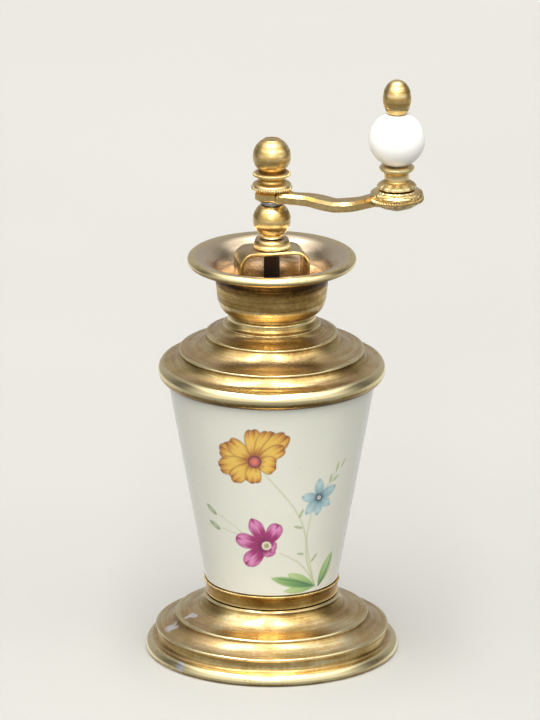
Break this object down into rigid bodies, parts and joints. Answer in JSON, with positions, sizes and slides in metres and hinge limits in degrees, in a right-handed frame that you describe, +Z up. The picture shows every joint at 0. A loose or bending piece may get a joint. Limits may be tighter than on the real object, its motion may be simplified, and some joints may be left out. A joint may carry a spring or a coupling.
{
  "type": "pepper mill",
  "caption": "Hand-cranked table pepper mill with a brass foot, conical painted porcelain body, open brass hopper bowl and a ball-knobbed crank.",
  "frame": {"origin": "the mill's vertical axis at the plane that it stands on", "axes": "+Z up along the axis; the painted front faces 40 degrees from +X towards -Y, and the crank at rest points 40.5 degrees from +X towards +Y"},
  "size_m": [0.07, 0.07, 0.1657],
  "materials": {
    "aged_brass": "turned brass with brown patina",
    "bright_brass": "turned brass, lightly tarnished",
    "porcelain": "ivory glaze with painted flowers",
    "white_porcelain": "plain white glaze",
    "blackened_steel": "oil-blackened",
    "burr_iron": "cast and cut teeth",
    "steel": "turned bright",
    "tinned_tube": "tinned",
    "cork": "pressed cork"
  },
  "bodies": {
    "housing": {"base_foot": "aged_brass", "base_ferrule": "aged_brass", "lower_gasket": "cork", "porcelain_body": "porcelain", "upper_gasket": "cork", "shoulder_cover": "aged_brass", "hopper_bowl": "aged_brass", "inner_tube": "tinned_tube", "burr_cap_nut": "aged_brass", "female_burr": "burr_iron", "adjusting_spring": "steel", "lower_guide": "steel", "feed_plate": "aged_brass", "bridge_strap": "aged_brass", "bridge_rivet_left": "bright_brass", "bridge_rivet_right": "bright_brass", "bridge_bushing": "bright_brass", "bridge_ball": "bright_brass"},
    "crank": {"thrust_collar": "steel", "crank_arm": "bright_brass", "knob_rosette": "bright_brass", "knob_pin": "steel"},
    "knob": {"knob_collar": "bright_brass", "knob_ball": "white_porcelain", "knob_finial": "bright_brass"},
    "adjuster": {"adjusting_finial": "bright_brass"},
    "grinder": {"spindle": "blackened_steel", "male_burr": "burr_iron", "burr_washer": "steel", "burr_nut": "steel"}
  },
  "joints": [
    {"name": "crank_turn", "type": "hinge", "parent": "housing", "child": "crank", "pos_m": [0, 0, 0.1313], "axis": [0, 0, 1], "continuous": true},
    {"name": "knob_turn", "type": "hinge", "parent": "crank", "child": "knob", "pos_m": [0.02639, 0.02254, 0.1488], "axis": [0, 0, 1], "continuous": true},
    {"name": "grind_adjust", "type": "hinge", "parent": "crank", "child": "adjuster", "pos_m": [0, 0, 0.14], "axis": [0, 0, 1], "range_deg": [-360, 360]},
    {"name": "grinder_lift", "type": "slide", "parent": "crank", "child": "grinder", "axis": [0, 0, 1], "range_m": [-0.0007, 0.0007], "deforming": ["adjusting_spring"]}
  ],
  "couplings": [
    {"joint": "grind_adjust", "follows": "grinder_lift", "rad_per_m": -8975}
  ]
}
